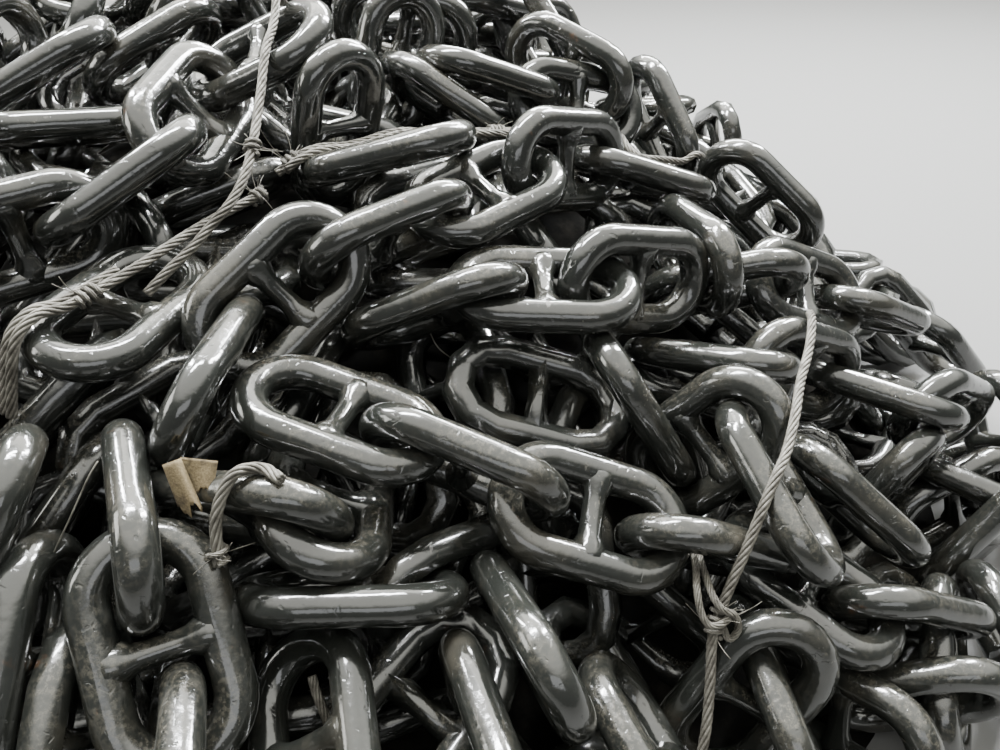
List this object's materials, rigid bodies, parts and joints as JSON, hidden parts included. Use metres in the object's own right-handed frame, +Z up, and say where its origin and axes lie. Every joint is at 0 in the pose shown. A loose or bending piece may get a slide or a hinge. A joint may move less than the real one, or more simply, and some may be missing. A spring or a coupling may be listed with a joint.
{
  "type": "heap of anchor chain",
  "caption": "Heap of loose stud-link anchor chain in black bitumen paint, lashed with wire rope, lying on a level floor.",
  "frame": {"origin": "middle of the chain's footprint box, on the floor that the heap lies on", "axes": "+Z up; +X along the heap's longer side, to the right in the picture; +Y away from the viewer"},
  "size_m": [2.3202, 2.1184, 0.83],
  "materials": {
    "bitumen_paint": "glossy black bitumen paint over steel",
    "buried_bitumen": "dull black bitumen paint over steel",
    "wire_rope": "weathered grey-brown steel wire rope"
  },
  "bodies": {
    "root": {"buried_links": "buried_bitumen", "lashing_front": "wire_rope", "lashing_left_lower": "wire_rope", "lashing_left_upper": "wire_rope", "lashing_right": "wire_rope", "lashing_top": "wire_rope", "run_a_link_1": "bitumen_paint", "run_a_link_2": "bitumen_paint", "run_a_link_3": "bitumen_paint", "run_a_link_4": "bitumen_paint", "run_a_link_5": "bitumen_paint", "run_a_link_6": "bitumen_paint", "run_b_link_1": "bitumen_paint", "run_b_link_2": "bitumen_paint", "run_b_link_3": "bitumen_paint", "run_b_link_4": "bitumen_paint", "run_b_link_5": "bitumen_paint", "run_b_link_6": "bitumen_paint", "run_c_link_1": "bitumen_paint", "run_c_link_2": "bitumen_paint", "run_c_link_3": "bitumen_paint", "run_c_link_4": "bitumen_paint", "run_d_link_1": "bitumen_paint", "run_d_link_2": "bitumen_paint", "run_d_link_3": "bitumen_paint", "run_e_link_1": "bitumen_paint", "run_e_link_2": "bitumen_paint", "run_e_link_3": "bitumen_paint", "run_e_link_4": "bitumen_paint", "run_f_link_1": "bitumen_paint", "run_f_link_2": "bitumen_paint", "run_f_link_3": "bitumen_paint", "run_f_link_4": "bitumen_paint", "run_g_link_1": "bitumen_paint", "run_h_link_1": "bitumen_paint", "run_h_link_2": "bitumen_paint", "run_h_link_3": "bitumen_paint", "run_h_link_4": "bitumen_paint", "run_i_link_1": "bitumen_paint", "run_j_link_1": "bitumen_paint", "run_k_link_1": "bitumen_paint", "run_k_link_2": "bitumen_paint", "run_k_link_3": "bitumen_paint", "run_l_link_1": "bitumen_paint", "run_l_link_2": "bitumen_paint", "run_m_link_1": "bitumen_paint", "run_n_link_1": "bitumen_paint", "run_o_link_1": "bitumen_paint", "run_p_link_1": "bitumen_paint", "run_q_link_1": "bitumen_paint", "run_r_link_1": "bitumen_paint", "run_s_link_1": "bitumen_paint", "run_t_link_1": "bitumen_paint", "run_u_link_1": "bitumen_paint", "run_v_link_1": "bitumen_paint", "run_w_link_1": "bitumen_paint", "run_x_link_1": "bitumen_paint", "run_y_link_1": "bitumen_paint"}
  },
  "joints": []
}
